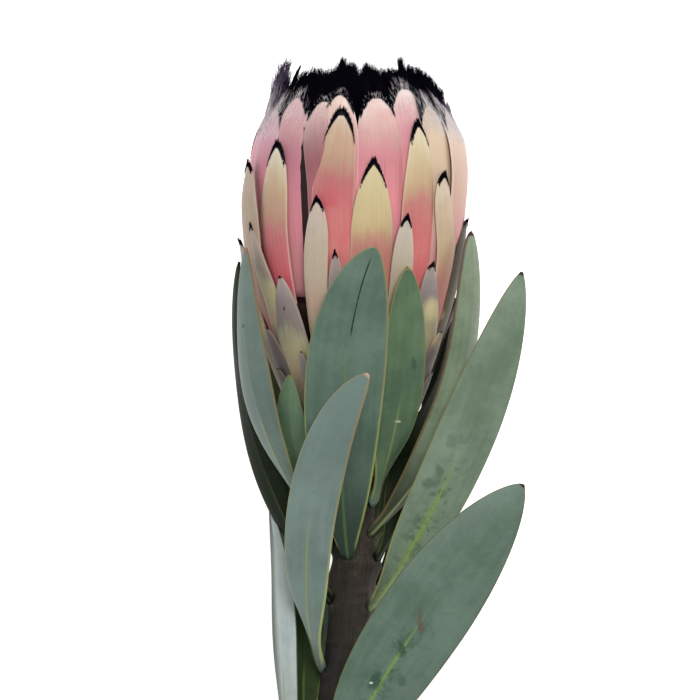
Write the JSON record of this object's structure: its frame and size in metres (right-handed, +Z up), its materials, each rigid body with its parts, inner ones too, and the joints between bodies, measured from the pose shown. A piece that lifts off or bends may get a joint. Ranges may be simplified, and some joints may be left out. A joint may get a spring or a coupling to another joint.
{
  "type": "protea flower",
  "caption": "Cut protea flower lying on its side: a cup of overlapping pink and cream bracts with a black hairy crown, on a woody stem with long leathery leaves.",
  "frame": {"origin": "on the surface the flower lies on, under the middle of its outline seen from above", "axes": "+Y along the flower's length from the cut end of the stem to the top of the head, +Z up from the surface it lies on, +X to the right of the head seen from above with the head at the top"},
  "size_m": [0.0916, 0.2516, 0.0758],
  "materials": {
    "stem_bark": "matte",
    "woody_core": "matte",
    "florets": "matte",
    "black_hair": "matte",
    "bract_pink": "satin",
    "bract_cream": "satin",
    "bract_grey": "satin",
    "leaf_blue_green": "satin",
    "leaf_pale": "satin",
    "leaf_green": "satin",
    "leaf_dark": "satin"
  },
  "bodies": {
    "root": {"stem": "stem_bark", "receptacle": "woody_core", "florets": "florets", "beard": "black_hair", "bracts_inner": "bract_pink", "bracts_middle": "bract_cream", "bracts_outer": "bract_grey", "leaf_front_long": "leaf_blue_green", "leaf_front_curved": "leaf_pale", "leaf_front_green": "leaf_green", "leaf_front_short": "leaf_green", "leaf_left_pale": "leaf_pale", "leaf_left_dark": "leaf_dark", "leaf_right_narrow": "leaf_green", "leaf_right_upper": "leaf_blue_green", "leaf_right_lower": "leaf_blue_green", "leaf_low_left_pale": "leaf_pale", "leaf_low_left_dark": "leaf_dark", "leaf_right_inner": "leaf_dark", "leaf_right_hidden": "leaf_dark", "leaf_back_right": "leaf_green", "leaf_back_middle": "leaf_green", "leaf_back_left": "leaf_green", "leaf_rest_middle": "leaf_blue_green", "leaf_rest_left": "leaf_blue_green", "leaf_rest_right": "leaf_blue_green"}
  },
  "joints": []
}
